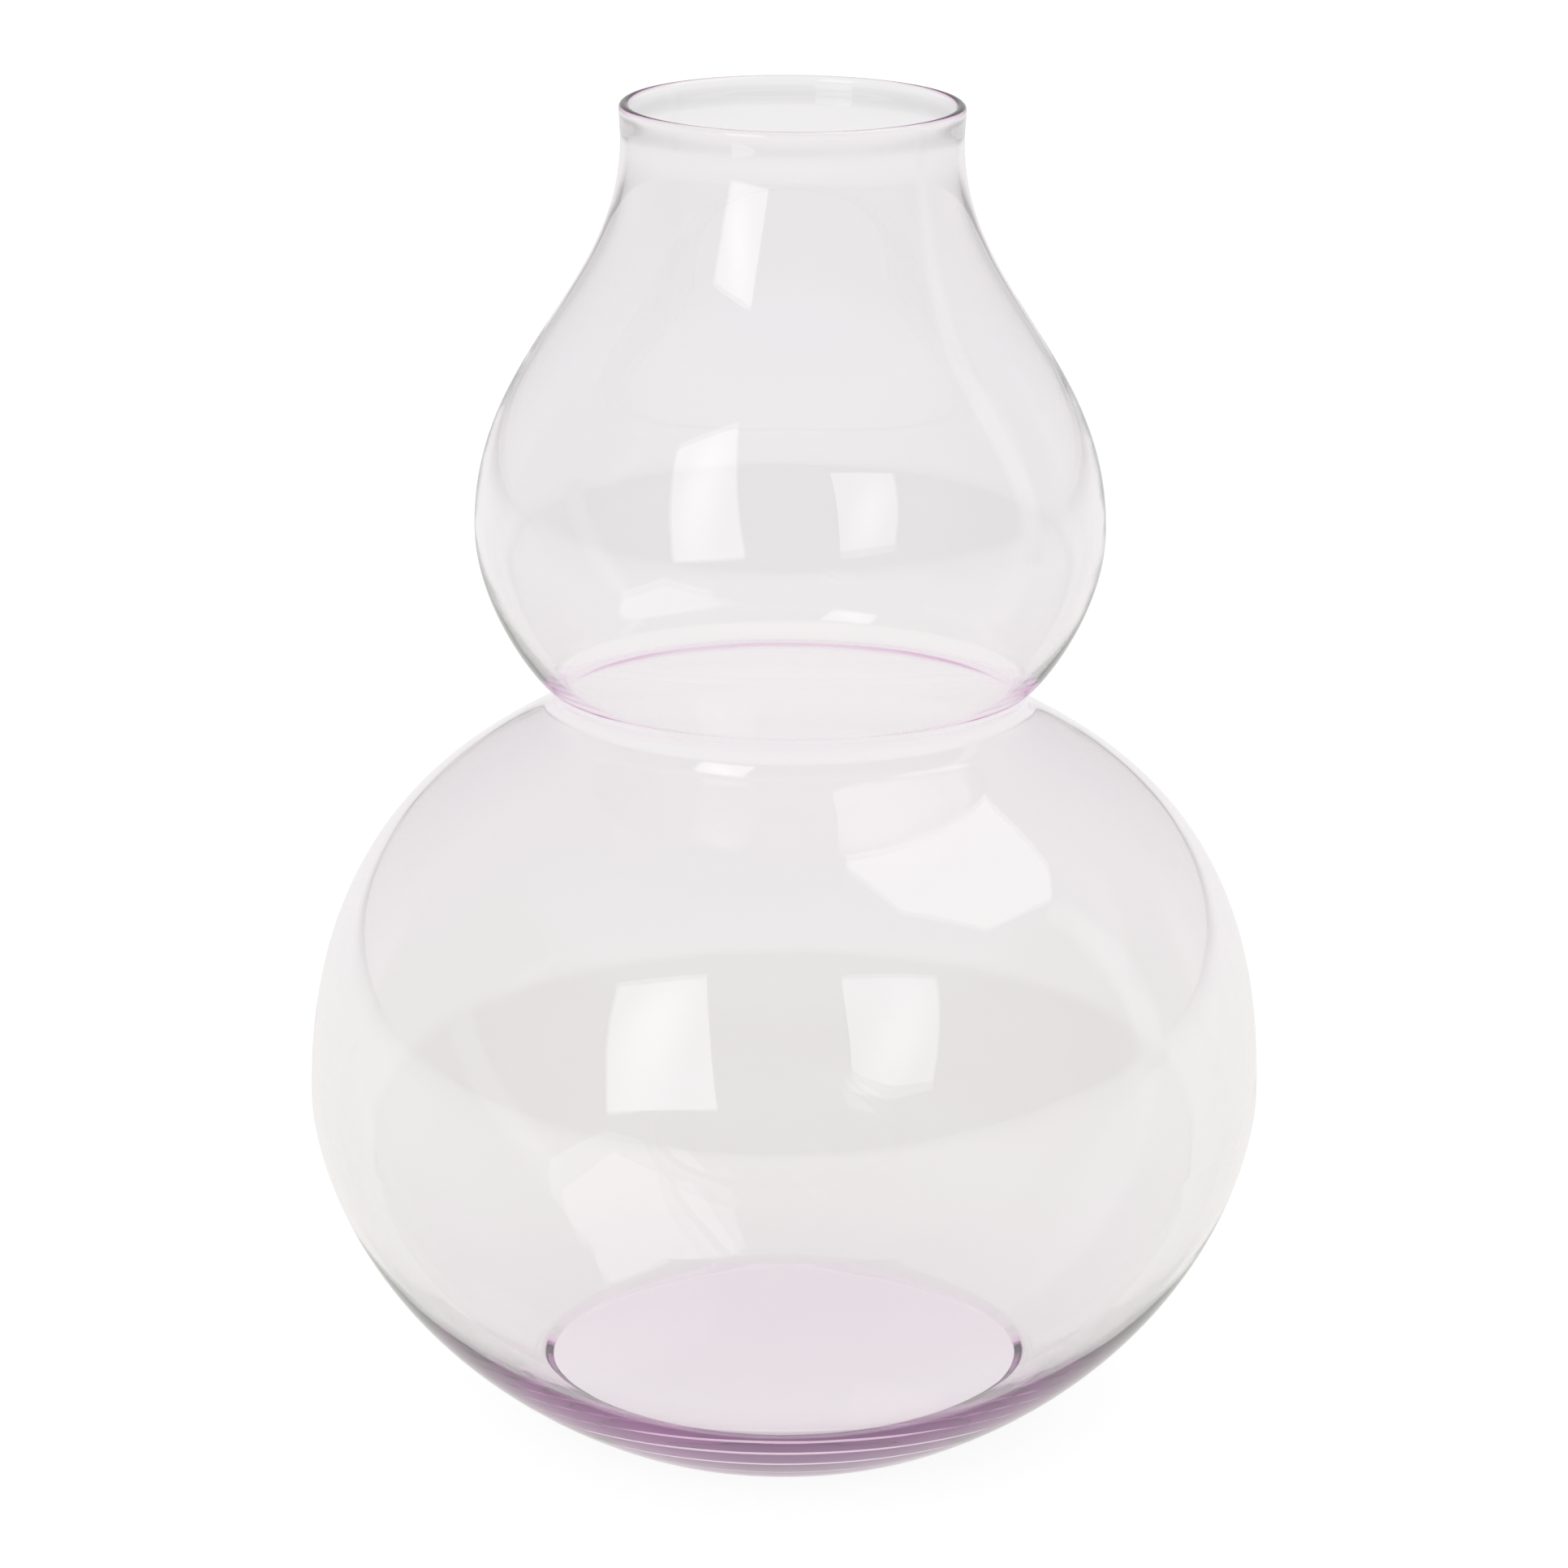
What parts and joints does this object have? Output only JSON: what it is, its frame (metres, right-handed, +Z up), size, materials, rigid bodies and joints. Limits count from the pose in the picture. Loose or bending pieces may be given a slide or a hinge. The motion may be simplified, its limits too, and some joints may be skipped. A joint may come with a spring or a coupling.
{
  "type": "double gourd vase",
  "caption": "Free-standing vase of clear pale lilac glass: a squat lower bulb and a smaller upper bulb meet at a pinched waist, above a heavy flat foot, with an open round lip.",
  "frame": {"origin": "middle of the flat face that the vase rests on", "axes": "+Z up along the axis that the vase is turned about; X and Y are level and alike"},
  "size_m": [0.2162, 0.2162, 0.3],
  "materials": {
    "lilac_glass": "fire-polished, clear with a pale lilac tint"
  },
  "bodies": {
    "root": {"glass_vase": "lilac_glass"}
  },
  "joints": []
}
